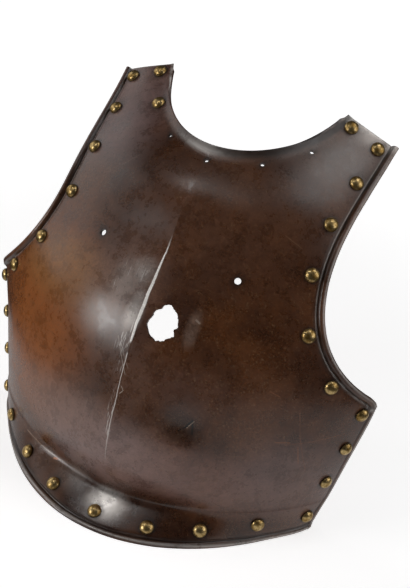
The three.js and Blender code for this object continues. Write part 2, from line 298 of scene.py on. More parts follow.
def spacedShares(count, line, steps):
    points = sampleLine(line, grid["samples"])
    last = [shareBefore(points, step) for step in reversed(steps)]
    close = grid["closeShares"]
    even = close + [close[-1] + (1 - close[-1]) * (i + 1) / count for i in range(count - 1)]
    return [last[0] * share for share in even] + last


armLength = lengthOf(sampleLine(armholeCurve, grid["samples"]))
sideLength = lengthOf(sampleLine(sideCurve, grid["samples"])) * (1 - creaseOnSide)
neckShare, pitShare = 0.62, 0.345                        # where the neck ends on the top, the side on the border


def topCurve(s):
    if s <= neckShare:
        return neckCurve(s / neckShare)
    return mixPoints(plate["shoulderInner"], plate["shoulderOuter"], (s - neckShare) / (1 - neckShare))


def sharpBorder(t):
    if t <= pitShare:
        return sideCurve(creaseOnSide + (1 - creaseOnSide) * t / pitShare)
    return armholeCurve((t - pitShare) / (1 - pitShare))


def borderCurve(t):
    reach = min(plate["armpitRound"] / (sideLength + armLength), t, 1 - t)
    places = [sharpBorder(t - reach), sharpBorder(t), sharpBorder(t + reach)]
    return tuple(sum(place[i] for place in places) / 3 for i in (0, 1))


# a place as its turn and height: grids are blended in these, so that columns stay even round the side
def asTurn(place):
    return (turnAt(*place), place[1])


chestCorners = [asTurn(curve(end)) for curve in (creaseCurve, topCurve) for end in (0, 1)]


def chestBlend(s, t):
    bottom, top = asTurn(creaseCurve(s)), asTurn(topCurve(s))
    left = asTurn((0, plate["creaseFront"] + (plate["neckBottom"] - plate["creaseFront"]) * t))
    right = asTurn(borderCurve(t))
    lowLeft, lowRight, highLeft, highRight = chestCorners
    turn, z = [
        (1 - t) * bottom[i] + t * top[i] + (1 - s) * left[i] + s * right[i]
        - (1 - s) * (1 - t) * lowLeft[i] - s * (1 - t) * lowRight[i]
        - (1 - s) * t * highLeft[i] - s * t * highRight[i] for i in (0, 1)
    ]
    return (0 if s == 0 else widthAt(turn, z), z)


def flangeBlend(s, t):
    bottom, top = asTurn(hemCurve(s)), asTurn(creaseCurve(s))
    turn, z = [top[i] + (bottom[i] - top[i]) * t for i in (0, 1)]
    return (0 if s == 0 else widthAt(turn, z), z)


# how squarely a row meets the border, as the sine of their angle
def squareness(t):
    near = grid["squareReach"]
    places = [chestBlend(1 - near, t), chestBlend(1, t),
              borderCurve(max(t - near, 0)), borderCurve(min(t + near, 1))]
    inside, end, behind, ahead = [surfacePoint(*place) for place in places]
    return max(math.sin((end - inside).angle(ahead - behind)), grid["squareLeast"])


# places of one half, by row from the hem up and by column from the ridge out
def halfPlaces():
    lastColumn = grid["columns"] + len(grid["closeShares"]) + len(sideSteps) - 2
    heights = [
        spacedShares(grid["rows"], lambda t, s=c / lastColumn: chestBlend(s, t), topSteps)
        for c in range(lastColumn + 1)
    ]
    rises = [
        spacedShares(grid["flangeRows"], lambda t, s=c / lastColumn: flangeBlend(s, t), hemSteps)
        for c in range(lastColumn + 1)
    ]
    lines = []
    for row in range(len(rises[0]) - 1, 0, -1):
        t = rises[lastColumn][row]
        shares = spacedShares(grid["columns"], lambda s: flangeBlend(s, t), sideSteps)
        lines.append([flangeBlend(s, rises[c][row]) for c, s in enumerate(shares)])
    for row in range(len(heights[0])):
        t = heights[lastColumn][row]
        steps = [step / squareness(t) for step in sideSteps]
        shares = spacedShares(grid["columns"], lambda s: chestBlend(s, t), steps)
        lines.append([chestBlend(s, heights[c][row]) for c, s in enumerate(shares)])
    return lines


def treeOf(points):
    tree = kdtree.KDTree(len(points))
    for index, point in enumerate(points):
        tree.insert(point, index)
    tree.balance()
    return tree


edgeSamples = {"arm": 1600, "sideLow": 300, "sideHigh": 700, "neck": 1600, "shoulder": 400, "hem": 1600}
edgeTrees = {
    "arm": treeOf(sampleLine(lambda t: borderCurve(pitShare + (1 - pitShare) * t), edgeSamples["arm"])),
    "side": treeOf(sampleLine(lambda t: sideCurve(creaseOnSide * t), edgeSamples["sideLow"])
                   + sampleLine(lambda t: borderCurve(pitShare * t), edgeSamples["sideHigh"])),
    "neck": treeOf(sampleLine(neckCurve, edgeSamples["neck"])),
    "shoulder": treeOf(sampleLine(lambda t: mixPoints(plate["shoulderInner"], plate["shoulderOuter"], t),
                                  edgeSamples["shoulder"])),
    "hem": treeOf(sampleLine(hemCurve, edgeSamples["hem"])),
}


# how far a point is from each edge
def distances(point):
    onHalf = Vector((abs(point.x), point.y, point.z))
    return {name: tree.find(onHalf)[2] for name, tree in edgeTrees.items()}


# how the wall is shaped across its edges
edgeForm = {
    "near": 14,                             # nothing is shaped further in than this
    "rollRadius": rollRadius,
    "flareWidth": 13, "flareHeight": 4.5,
    "armGroove": (6.2, 0.5, 0.7), "armLine": (8.6, 0.14, 0.5),           # place, depth, width
    "sideLine": (6.1, 0.14, 0.5),
    "hemGroove": (5.2, 0.4, 0.5), "hemLine": (7, 0.3, 0.4),
    "sideBead": (5.8, 0.8, 1.5), "hemBead": (5, 1.6, 1.2),               # width, height, start outside the edge
    "sideFrom": (3, 9),                     # the side's bead rises over these distances from the arm edge
    "hemFrom": (0, 5),                      # and the hem's over these from the side
    "endRound": 1.2, "sideRound": 1, "sideRoundOuter": 0.8, "sideRoundInner": 0.6,
}


def grooveAt(distance, place, depth, width):
    return -depth * math.exp(-((distance - place) / width) ** 2)


def beadAt(distance, width, height, start):
    return height * math.sin(math.pi * (distance + start) / (width + start)) if distance < width else 0


def roundedEnd(distance, radius):
    if distance >= radius:
        return 0
    return radius - math.sqrt(radius ** 2 - (radius - distance) ** 2)


# heights of the outer and the inner face over the drawn surface
def wallHeights(point):
    away = distances(point)
    near, radius = edgeForm["near"], edgeForm["rollRadius"]
    fade = 1 - min(abs(point.x) / plate["shoulderInner"][0], 1) ** 2
    flare = edgeForm["flareHeight"] * max(1 - away["neck"] / edgeForm["flareWidth"], 0) ** 2 * fade
    end = roundedEnd(min(away["neck"], away["shoulder"]), edgeForm["endRound"])
    outer, inner = flare - end, flare - plate["wall"] + end
    if away["arm"] < near:
        centre = radius - plate["wall"]
        if away["arm"] < 2 * radius:
            lift = math.sqrt(max(radius ** 2 - (away["arm"] - radius) ** 2, 0))
            outer = max(outer, centre + lift)
            if away["arm"] < radius:
                inner = max(inner, centre - lift)
        outer += grooveAt(away["arm"], *edgeForm["armGroove"]) + grooveAt(away["arm"], *edgeForm["armLine"])
    sideOnly = smoothStep(*edgeForm["sideFrom"], away["arm"])
    if away["side"] < near and sideOnly > 0:
        outer += sideOnly * beadAt(away["side"], *edgeForm["sideBead"])
        outer += sideOnly * grooveAt(away["side"], *edgeForm["sideLine"])
        end = sideOnly * roundedEnd(away["side"], edgeForm["sideRound"])
        outer -= end * edgeForm["sideRoundOuter"]
        inner += end * edgeForm["sideRoundInner"]
    if away["hem"] < near:
        outer += smoothStep(*edgeForm["hemFrom"], away["side"]) * beadAt(away["hem"], *edgeForm["hemBead"])
        outer += grooveAt(away["hem"], *edgeForm["hemGroove"]) + grooveAt(away["hem"], *edgeForm["hemLine"])
    return outer, inner


# damage and forging marks
dents = [
    {"x": 55, "z": 70, "radius": 20, "depth": 3},
    {"x": 20, "z": 147, "radius": 24, "depth": 2},
]
forging = {"waveSize": 34, "waveDepth": 0.22, "hammerSize": 13, "hammerDepth": 0.05}


# how far a place is pushed back by the dents and the hammer
def sunk(point):
    total = 0
    for dent in dents:
        away = (point.x - dent["x"]) ** 2 + (point.z - dent["z"]) ** 2
        total += dent["depth"] * math.exp(-2 * away / dent["radius"] ** 2)
    total += forging["waveDepth"] * noise.noise(point / forging["waveSize"])
    total += forging["hammerDepth"] * noise.noise(point / forging["hammerSize"])
    return total


ballHole = {
    "x": 19.8, "z": 147.2, "points": 96,
    "raggedness": 0.9, "tearTurn": 7, "tearSeed": 3.1,   # small tears: reach, degrees each, place in the noise
    "edge": [                   # turn in degrees, reach in millimetres
        (3, 11.8), (19, 11.3), (63, 12.7), (88, 14.8), (108, 13.9), (122, 11.3), (148, 12), (165, 10.8),
        (208, 13.4), (245, 14.6), (261, 15), (288, 14.1), (301, 12.3), (328, 13.1), (346, 9.4),
    ],
}
emptyHoles = [                  # x, z, radius
    (71.3, 304, 1.8), (42, 284, 1.7), (-42, 284, 1.7), (0, 274.5, 1.7), (61.2, 194.8, 2.7), (-61.2, 194.8, 2.7),
]
cutter = {"ballLength": 40, "holeLength": 16, "holeSides": 32}


def ballReach(degrees):
    table = ballHole["edge"]
    table = [(table[-1][0] - 360, table[-1][1])] + table + [(table[0][0] + 360, table[0][1])]
    tear = noise.noise(Vector((degrees / ballHole["tearTurn"], ballHole["tearSeed"], 0)))
    for (a, low), (b, high) in zip(table, table[1:]):
        if a <= degrees <= b:
            return low + (high - low) * smoothStep(a, b, degrees) + ballHole["raggedness"] * tear


# one solid that cuts the ball hole, straight through from the front, and the empty holes, square to the plate
def holeCutters(shift):
    bm = bmesh.new()
    made = bmesh.ops.create_circle(bm, cap_ends=True, segments=ballHole["points"], radius=1)
    for vert in made["verts"]:
        vert.co *= ballReach(math.degrees(math.atan2(vert.co.y, vert.co.x)) % 360)
    far = bmesh.ops.extrude_face_region(bm, geom=bm.faces[:], use_keep_orig=True)["geom"]
    far = [item for item in far if isinstance(item, bmesh.types.BMVert)]
    bmesh.ops.translate(bm, verts=far, vec=(0, 0, cutter["ballLength"]))
    bmesh.ops.translate(bm, verts=bm.verts[:], vec=(0, 0, -cutter["ballLength"] / 2))
    bmesh.ops.rotate(bm, verts=bm.verts[:], cent=(0, 0, 0), matrix=Matrix.Rotation(math.pi / 2, 3, "X"))
    bmesh.ops.recalc_face_normals(bm, faces=bm.faces[:])
    centre = surfacePoint(ballHole["x"], ballHole["z"])
    for vert in bm.verts:
        vert.co = stand(vert.co + centre)
    for x, z, radius in emptyHoles:
        made = bmesh.ops.create_cone(bm, cap_ends=True, segments=cutter["holeSides"], radius1=radius,
                                     radius2=radius, depth=cutter["holeLength"])
        turn = surfaceNormal(x, z).to_track_quat("Z", "Y").to_matrix()
        for vert in made["verts"]:
            vert.co = stand(turn @ vert.co + surfacePoint(x, z))
    for vert in bm.verts:
        vert.co = vert.co * mm + shift
    bmesh.ops.recalc_face_normals(bm, faces=bm.faces[:])
    return objectFrom(bm, "hole_cutters", None)


sideLimit = {"from": 181.5, "press": 0.08}      # the turned edge is hammered in where it meets the side


# the steel plate, its outer skin, to which the rivets are set, and the move that puts it over the frame's origin
def makePlate():
    lines = halfPlaces()
    rows, columns = len(lines) - 1, len(lines[0]) - 1
    bm = bmesh.new()
    bmesh.ops.create_grid(bm, x_segments=columns, y_segments=rows, size=0.5)
    atHem = bm.verts.layers.int.new("atHem")
    for vert in bm.verts:
        column = round((vert.co.x + 0.5) * columns)
        row = round((vert.co.y + 0.5) * rows)
        vert.co = surfacePoint(*lines[row][column])
        vert[atHem] = int(row == 0)
    bmesh.ops.mirror(bm, geom=bm.verts[:] + bm.edges[:] + bm.faces[:], axis="X", merge_dist=joinWithin)
    inside = bm.verts.layers.int.new("inside")
    shell = bmesh.ops.extrude_face_region(bm, geom=bm.faces[:], use_keep_orig=True)
    for item in shell["geom"]:
        if isinstance(item, bmesh.types.BMVert):
            item[inside] = 1
    print("plate grid", len(bm.verts), "points")
    for vert in bm.verts:
        point = vert.co.copy()
        normal = surfaceNormal(abs(point.x), point.z)
        if abs(point.x) < joinWithin:
            normal.x = 0
            normal.normalize()
        elif point.x < 0:
            normal.x = -normal.x
        outer, inner = wallHeights(point)
        height = inner if vert[inside] else outer
        moved = stand(point + normal * height + Vector((0, sunk(point), 0)))
        moved.z = 0 if vert[atHem] else max(moved.z, 0)
        over = abs(moved.x) - sideLimit["from"]
        if over > 0:
            moved.x = math.copysign(sideLimit["from"] + over / (1 + over * sideLimit["press"]), moved.x)
        vert.co = moved * mm
    depths = [vert.co.y for vert in bm.verts]
    shift = Vector((0, -(min(depths) + max(depths)) / 2, 0))
    bmesh.ops.translate(bm, verts=bm.verts[:], vec=shift)
    bmesh.ops.recalc_face_normals(bm, faces=bm.faces[:])
    outside = [face for face in bm.faces if not any(vert[inside] for vert in face.verts)]
    bm.verts.index_update()
    skin = BVHTree.FromPolygons([vert.co for vert in bm.verts],
                                [[vert.index for vert in face.verts] for face in outside])
    return objectFrom(bm, "browned_plate", None), skin, shift


def cutHoles(piece, cutters):
    boolean = piece.modifiers.new("holes", "BOOLEAN")
    boolean.operation = "DIFFERENCE"
    boolean.solver = "EXACT"
    boolean.object = cutters
    graph = bpy.context.evaluated_depsgraph_get()
    mesh = bpy.data.meshes.new_from_object(piece.evaluated_get(graph))
    piece.modifiers.clear()
    piece.data = mesh
    bpy.data.objects.remove(cutters)


# where the plate is darker and where it is paler, in millimetres from its edges: dirt and wear, with painted shade
# under the neck's edge and round the rivet heads and painted highlights on the edges
plateMarks = {
    # darker lines along the grooves beside the edges
    "darkLines": [              # edge, place, half width, strength
        ("arm", 6.2, 0.8, 1), ("arm", 8.6, 0.8, 0.4), ("side", 6.2, 0.8, 0.8), ("hem", 5.2, 0.8, 1),
        ("hem", 7, 0.8, 0.8),
    ],
    # paler lines on the edge rolls, the hem bead and the side: partly wear, partly painted highlight
    "brightLines": [
        ("arm", 3.4, 0.9, 0.2), ("arm", 7.1, 0.5, 0.3), ("hem", 2.6, 0.8, 0.4), ("side", 2.4, 0.8, 0.3),
    ],
    # a darker band just inside the neck's flared edge, fading out towards the wearer's right: painted shade
    "neckShade": {"rise": (0.2, 0.8), "fall": (5, 8.5), "x": (-50, 10)},
    "headShadeAndPatina": (5.6, 7.8),                                     # from a rivet's middle: a dark ring round each head, partly patina and partly painted shadow of the head
    "holeDirt": {"fall": (0.4, 2.6), "strength": 0.8},          # from an empty hole's edge
    "insideShare": 0.4,                                         # how much of the darkening the inside holds
    "neckBright": {"fall": (0.3, 1.3), "x": (10, 30), "strength": 0.7},
    # a pale band on the neck's flare: painted highlight
    "neckSpot": {"place": 5.5, "width": 2, "x": -12, "wide": 22, "strength": 0.45},
    "shoulderBright": {"fall": (0.3, 2), "strength": 0.35},
    # a paler strip at the shoulder's end on the wearer's left: partly wear, partly painted highlight
    "leftShoulder": {"fall": (0, 12), "strength": 0.5},
    "skinWithin": 0.3,                                          # closer to the outer skin than this is the front
}


def wornLines(away, rows):
    return [strength * math.exp(-((away[edge] - place) / width) ** 2) for edge, place, width, strength in rows]


# keeps the dirt, wear, painted shade and painted highlights as attributes from 0 to 1, which the plate's finish
# reads
def markWearAndPaintedLight(piece, shift, rivetPlaces, skin):
    bm = bmesh.new()
    bm.from_mesh(piece.data)
    rubbedAndHighlit = bm.verts.layers.float.new("rubbedAndHighlit")
    dirtAndShade = bm.verts.layers.float.new("dirtAndShade")
    front = bm.verts.layers.float.new("front")
    back = Matrix.Rotation(plate["lean"], 3, "X")
    home = Vector((0, plate["waistDepth"], -plate["waist"][1]))
    heads = treeOf(rivetPlaces)
    neck, hole, spot = plateMarks["neckShade"], plateMarks["holeDirt"], plateMarks["neckSpot"]
    edge, shoulder, left = plateMarks["neckBright"], plateMarks["shoulderBright"], plateMarks["leftShoulder"]
    for vert in bm.verts:
        point = back @ ((vert.co - shift) / mm) - home
        away = distances(point)
        vert[front] = 1 if skin.find_nearest(vert.co)[3] < plateMarks["skinWithin"] * mm else 0
        darkening = wornLines(away, plateMarks["darkLines"])
        darkening.append(smoothStep(*neck["rise"], away["neck"]) * (1 - smoothStep(*neck["fall"], away["neck"]))
                    * smoothStep(*neck["x"], point.x))
        darkening.append(1 - smoothStep(*plateMarks["headShadeAndPatina"], heads.find(vert.co)[2] / mm))
        for x, z, radius in emptyHoles:
            fromEdge = math.hypot(point.x - x, point.z - z) - radius
            darkening.append(hole["strength"] * (1 - smoothStep(*hole["fall"], fromEdge)))
        vert[dirtAndShade] = clamp(max(darkening)) * (plateMarks["insideShare"] + (1 - plateMarks["insideShare"]) * vert[front])
        shine = wornLines(away, plateMarks["brightLines"])
        shine.append(edge["strength"] * (1 - smoothStep(*edge["fall"], away["neck"]))
                     * (1 - smoothStep(*edge["x"], point.x)))
        shine.append(spot["strength"] * math.exp(-((away["neck"] - spot["place"]) / spot["width"]) ** 2
                                                 - ((point.x - spot["x"]) / spot["wide"]) ** 2))
        shine.append(shoulder["strength"] * (1 - smoothStep(*shoulder["fall"], away["shoulder"])))
        if point.x > 0:
            shine.append(left["strength"] * (1 - smoothStep(*left["fall"], away["shoulder"])))
        vert[rubbedAndHighlit] = max(shine)
    bm.to_mesh(piece.data)
    bm.free()


def smoothFaces(piece, sharpAngle):
    bm = bmesh.new()
    bm.from_mesh(piece.data)
    for face in bm.faces:
        face.smooth = True
    for edge in bm.edges:
        edge.smooth = len(edge.link_faces) == 2 and edge.calc_face_angle() < sharpAngle
    bm.to_mesh(piece.data)
    bm.free()


rivet = {                       # millimetres
    "headRadius": 6.0, "headHeight": 4.7, "lip": 0.5, "footInset": 0.25, "footHeight": 0.2,
    "shankRadius": 2.0, "tailRadius": 3.2, "tailHeight": 1.3, "gap": 0.05,
    "sides": 40, "headSteps": 12, "tailSteps": 4,
    "turnEach": 0.7,            # each head is turned by this much more, in radians, so that none looks alike
    "sharpAngle": 0.9,
}


# half an outline, from the hammered tail up to the crown
def rivetProfile():
    radius, lip, gap = rivet["headRadius"], rivet["lip"], rivet["gap"]
    back = -plate["wall"] - gap
    points = [(0, back - rivet["tailHeight"])]
    for step in range(1, rivet["tailSteps"] + 1):
        a = math.pi / 2 * (1 - step / rivet["tailSteps"])
        points.append((rivet["tailRadius"] * math.cos(a), back - rivet["tailHeight"] * math.sin(a)))
    points += [(rivet["shankRadius"], back), (rivet["shankRadius"], gap),
               (radius - rivet["footInset"], gap), (radius, rivet["footHeight"])]
    for step in range(rivet["headSteps"]):
        a = math.pi / 2 * step / rivet["headSteps"]
        points.append((radius * math.cos(a), lip + (rivet["headHeight"] - lip) * math.sin(a)))
    return points + [(0, rivet["headHeight"])]


def makeRivet(name, place, normal, turn, material):
    bm = bmesh.new()
    verts = [bm.verts.new((x, 0, z)) for x, z in rivetProfile()]
    edges = [bm.edges.new(pair) for pair in zip(verts, verts[1:])]
    bmesh.ops.spin(bm, geom=verts + edges, cent=(0, 0, 0), axis=(0, 0, 1), angle=2 * math.pi,
                   steps=rivet["sides"], use_merge=True)
    bmesh.ops.remove_doubles(bm, verts=bm.verts[:], dist=joinWithin)
    bmesh.ops.recalc_face_normals(bm, faces=bm.faces[:])
    crown = bm.verts.layers.float.new("crown")
    for vert in bm.verts:
        vert[crown] = clamp(vert.co.z / rivet["headHeight"])
    bmesh.ops.scale(bm, verts=bm.verts[:], vec=(mm, mm, mm))
    bmesh.ops.rotate(bm, verts=bm.verts[:], cent=(0, 0, 0), matrix=Matrix.Rotation(turn, 3, "Z"))
    bmesh.ops.rotate(bm, verts=bm.verts[:], cent=(0, 0, 0), matrix=normal.to_track_quat("Z", "Y").to_matrix())
    bmesh.ops.translate(bm, verts=bm.verts[:], vec=place)
    return objectFrom(bm, name, material)


# each rivet is set square on the plate's skin, at the middle of the frame's own
def makeRivets(skin, material):
    names = sorted(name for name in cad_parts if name.startswith("rivet_"))
    places = []
    for index, name in enumerate(names):
        points = [vert.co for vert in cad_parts[name].data.vertices]
        place, normal = skin.find_nearest(sum(points, Vector()) / len(points))[:2]
        places.append(place)
        piece = makeRivet("dome_" + name, place, normal, index * rivet["turnEach"], material)
        smoothFaces(piece, rivet["sharpAngle"])
        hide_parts(name)
        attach(piece, "root")
    print("rivets", len(names))
    return places


# the plate's own place as worn, in metres, from its place in the object
def wornPlace(tree, shift):
    back = Matrix.Rotation(plate["lean"], 3, "X") @ shift
    home = Vector((0, -plate["waistDepth"], plate["waist"][1])) * mm - back
    place = addNode(tree, "TexCoord", output="Object")
    return addNode(tree, "Mapping", {"Vector": place, "Location": home, "Rotation": (plate["lean"], 0, 0)})


# 1 inside a soft spot on the plate, given as x, z and two radii in millimetres, and 0 outside
def spotMask(tree, place, x, z, wide, high, soft=0.6):
    moved = addNode(tree, "VectorMath", (place, (x * mm, 0, z * mm)), operation="SUBTRACT")
    flat = addNode(tree, "VectorMath", (moved, (1 / (wide * mm), 0, 1 / (high * mm))), operation="MULTIPLY")
    away = addNode(tree, "VectorMath", (flat,), "Value", operation="LENGTH")
    return addNode(tree, "MapRange", (away, 1 - soft, 1 + soft, 1, 0), **smooth)


lineCore = 0.4                  # share of a scratch's width over which it has its full strength


# 1 on a thin line from a to b on the plate, both as x and z in millimetres
def lineMask(tree, flatPlace, a, b, width):
    start, along = Vector((a[0], 0, a[1])) * mm, Vector((b[0] - a[0], 0, b[1] - a[1])) * mm
    away = addNode(tree, "VectorMath", (flatPlace, start), operation="SUBTRACT")
    share = addNode(tree, "VectorMath", (away, along / along.length_squared), "Value", operation="DOT_PRODUCT")
    share = addNode(tree, "Math", (share, 0), operation="ADD", use_clamp=True)
    reach = addNode(tree, "VectorMath", {0: along, "Scale": share}, operation="SCALE")
    gap = addNode(tree, "VectorMath", (away, reach), "Value", operation="DISTANCE")
    return addNode(tree, "MapRange", (gap, lineCore * width * mm, width * mm, 1, 0), **smooth)


steel = {
    # the darkest colour here is for dirt and painted shade, the palest for bare metal and painted highlights
    "dark": "#301606", "brown": "#4c290f", "worn": "#fbf6f0", "dirtAndShade": "#120b07", "sand": "#7d6248",
    "ior": 1.6, "roughness": 0.28, "dirtAndShadeShare": 0.8, "dirtAndShadeRoughness": 0.08,
    "layers": {                 # size in millimetres, detail and roughness of each noise
        "patches": (60, 6, 0.6), "cloud": (16, 5, 0.65), "mottle": (4.5, 4, 0.65), "grain": (1.9, 3, 0.7),
        "sand": (1.4, 2, 0.6),  # real grit is finer, and is drawn as coarse as it needs to show
    },
    # the range of a layer that counts, and the values that it is spread over
    "brownShare": ("patches", 0.36, 0.66, 0, 1),
    "patchShares": [("cloud", 0.25, 0.7, 0.62, 1), ("mottle", 0.3, 0.7, 0.9, 1)],
    "grainShade": (0.22, 0.74, 0.62, 1.55),
    "shades": [("mottle", 0.25, 0.75, 0.93, 1.08), ("cloud", 0.25, 0.75, 0.86, 1.14)],
    "sandShares": [("sand", 0.56, 0.72, 0, 1), ("patches", 0.4, 0.6, 0.22, 0.55)],
    "rimShares": [("cloud", 0.3, 0.55, 0.35, 1)],
    "polishAndSheenShares": [("cloud", 0.3, 0.62, 0.55, 1)],
    "roughnessChanges": [("mottle", 0.3, 0.7, -0.03, 0.04), ("cloud", 0.3, 0.7, -0.04, 0.05)],
    "relief": [("grain", 0.7), ("mottle", 0.7), ("cloud", 1.2)],
    "bump": 0.3, "bumpDepth": 0.12,
    # the oxide's own tones, except the rows marked below as painted reflection, sheen, highlight and shade
    "patches": [                # x, z, two radii in millimetres, colour, strength
        (-100, 108, 56, 74, "#7c420f", 0.95), (-88, 156, 44, 24, "#7d5728", 0.55),
        # second here, both on the next line and the first on the line after: a greyer lower belly, painted
        # reflection of the floor
        (-50, 146, 34, 30, "#68401c", 0.5), (-6, 28, 60, 30, "#75605c", 0.85),
        (75, 26, 60, 24, "#664941", 0.7), (138, 42, 38, 34, "#5d4945", 0.7),
        # second here and both on the next line: greyer shoulders and a pale patch beside the ridge, painted sheen
        (-54, 46, 44, 24, "#6d5145", 0.7), (-100, 300, 44, 46, "#6b5552", 0.75),
        (98, 316, 40, 30, "#62524b", 0.7), (-24, 168, 30, 34, "#6a5248", 0.65),
        # a paler rim round the lower dent as painted highlight, its darker middle as painted shade, and a pale
        # streak beside the ball hole as painted highlight
        (50, 102, 34, 18, "#513529", 0.5), (56, 68, 15, 12, "#1c0f08", 0.7), (43, 150, 5, 13, "#77655a", 0.5),
        (10, 100, 12, 44, "#5a4034", 0.45), (40, 236, 70, 50, "#553726", 0.5),
        # second here: a darker flange on the wearer's left, painted shade
        (0, 262, 40, 12, "#2c170b", 0.35), (88, -22, 62, 10, "#1b0d06", 0.25),
        (-70, -14, 40, 9, "#5a3d2c", 0.4),
    ],
    "scratches": [              # points in millimetres, width, colour, strength
        # the crack in the lower dent; the pale line beside it, last on the next line, is a painted highlight on the
        # crack's lip
        ([(57.7, 71), (62.2, 78.8), (64, 66.8)], 1.0, "#080403", 1.0),
        ([(57.7, 71), (53, 66)], 0.7, "#0c0604", 0.8), ([(58.8, 70.6), (63.4, 78.2)], 0.4, "#a08a78", 0.5),
        ([(131, 76.3), (147, 82), (165.6, 91.7)], 0.4, "#7c4c30", 0.4),
        ([(134.8, 110), (140, 84), (148.6, 54.6)], 0.4, "#7c4c30", 0.35),
        ([(124, 77), (134, 79)], 0.45, "#9a6034", 0.5), ([(140, 76), (143, 60)], 0.45, "#8a5432", 0.45),
        ([(111, 120), (119, 117.5)], 0.4, "#8a5432", 0.5),
        ([(-96, -4.5), (-74, -9), (-52, -12)], 0.6, "#a58a76", 0.5),
        ([(-58, -12.8), (-55, -12.2)], 1.1, "#c07038", 0.8),
        ([(43.4, 157.6), (46.4, 156.2)], 1.1, "#a09084", 0.5), ([(-12, 126), (3, 98)], 0.35, "#b9aca0", 0.45),
        ([(-8, 121), (4, 104)], 0.3, "#b9aca0", 0.4),
        ([(1.7, 88), (4.4, 85), (2, 81.5)], 0.35, "#c9bdb0", 0.5),
        ([(-30, 30), (-26, 64)], 0.3, "#8f7a70", 0.35), ([(-70, 250), (-58, 262)], 0.35, "#8a766c", 0.3),
        ([(82, 238), (97, 232)], 0.35, "#8a6a50", 0.35),
    ],
    # pale spots on the flange, beside the ridge and on the wearer's left shoulder: partly rubbed metal, partly
    # painted sheen
    "polishAndSheen": [               # x, z, two radii in millimetres, strength
        (5, -25, 14, 8, 0.75), (-34, -18, 14, 8, 0.12), (-11, 178, 9, 10, 0.22), (-6, 148, 6, 14, 0.42),
        (-22, 166, 12, 16, 0.14), (112, 330, 14, 8, 0.35),
    ],
    "polishAndSheenSoft": 0.8,
}


# multiplies a share by layers of the finish, each spread over its own range
def unevenShare(tree, layers, share, rows):
    for name, *spread in rows:
        part = addNode(tree, "MapRange", (layers[name], *spread), **smooth)
        share = addNode(tree, "Math", (share, part), operation="MULTIPLY")
    return share


# the bare line along the ridge, in millimetres: it bends a little and is widest beside the ball hole. It is worn
# metal drawn nearly white, partly wear and partly a painted highlight
ridgeLine = {
    "bends": (16, 3, 0.6), "bend": 2.2,                  # size, detail and roughness of its noise, and its reach
    "widestAt": 158, "reach": 60, "widest": 1.4, "thinnest": 0.34, "soft": (0.7, 1.3),
    "gapAt": 120.5,
    "fades": [                  # over the height or the way from the gap: from, to, start, end
        ("height", 192, 216, 1, 0), ("height", 10, 50, 0, 1), ("gap", 3, 6, 0, 1), ("height", 110, 135, 0.45, 1),
    ],
    "metal": (0, 0.5, 0.85, 0.15),      # nearly matt on the line itself, so its white shows from any side as a painted highlight
}


def ridgeWearAndHighlight(tree, place, x, z, front):
    size, detail, roughness = ridgeLine["bends"]
    bend = addNode(tree, "TexNoise", {"Vector": place, "Scale": 1 / (size * mm), "Detail": detail,
                                      "Roughness": roughness})
    bend = addNode(tree, "Math", (bend, 0.5), operation="SUBTRACT")
    bend = addNode(tree, "Math", (bend, ridgeLine["bend"] * mm), operation="MULTIPLY")
    offRidge = addNode(tree, "Math", (x, bend), operation="ADD")
    offRidge = addNode(tree, "Math", (offRidge,), operation="ABSOLUTE")
    away = [addNode(tree, "Math", (z, ridgeLine[name] * mm), operation="SUBTRACT")
            for name in ("widestAt", "gapAt")]
    fromWidest, fromGap = [addNode(tree, "Math", (value,), operation="ABSOLUTE") for value in away]
    width = addNode(tree, "MapRange", (fromWidest, 0, ridgeLine["reach"] * mm, ridgeLine["widest"] * mm,
                                       ridgeLine["thinnest"] * mm), **smooth)
    line = addNode(tree, "Math", (offRidge, width), operation="DIVIDE")
    line = addNode(tree, "MapRange", (line, *ridgeLine["soft"], 1, 0), **smooth)
    along = {"height": z, "gap": fromGap}
    for name, low, high, start, end in ridgeLine["fades"]:
        fade = addNode(tree, "MapRange", (along[name], low * mm, high * mm, start, end), **smooth)
        line = addNode(tree, "Math", (line, fade), operation="MULTIPLY")
    return addNode(tree, "Math", (line, front), operation="MULTIPLY")


# short slanting hairlines within soft spots beside the ridge
scuffs = {
    "slant": -38, "perMetre": (1400, 1, 90), "hair": (0.56, 0.68, 0, 1), "strength": 0.6,
    "spots": [                  # x, z, two radii in millimetres
        (-5, 137, 5, 16), (-6, 121, 6, 9), (-5, 101, 4, 6), (-16, 178, 12, 7), (-26, 163, 8, 5), (-2, 60, 3, 20),
    ],
}


def ridgeScuffs(tree, place, front):
    slant = addNode(tree, "Mapping", {"Vector": place, "Rotation": (0, math.radians(scuffs["slant"]), 0),
                                      "Scale": scuffs["perMetre"]})
    hairs = addNode(tree, "TexNoise", {"Vector": slant, "Scale": 1, "Detail": 2})
    hairs = addNode(tree, "MapRange", (hairs, *scuffs["hair"]), **smooth)
    share = 0
    for row in scuffs["spots"]:
        share = addNode(tree, "Math", (share, spotMask(tree, place, *row)), operation="MAXIMUM")
    for part in (hairs, front, scuffs["strength"]):
        share = addNode(tree, "Math", (share, part), operation="MULTIPLY")
    return share
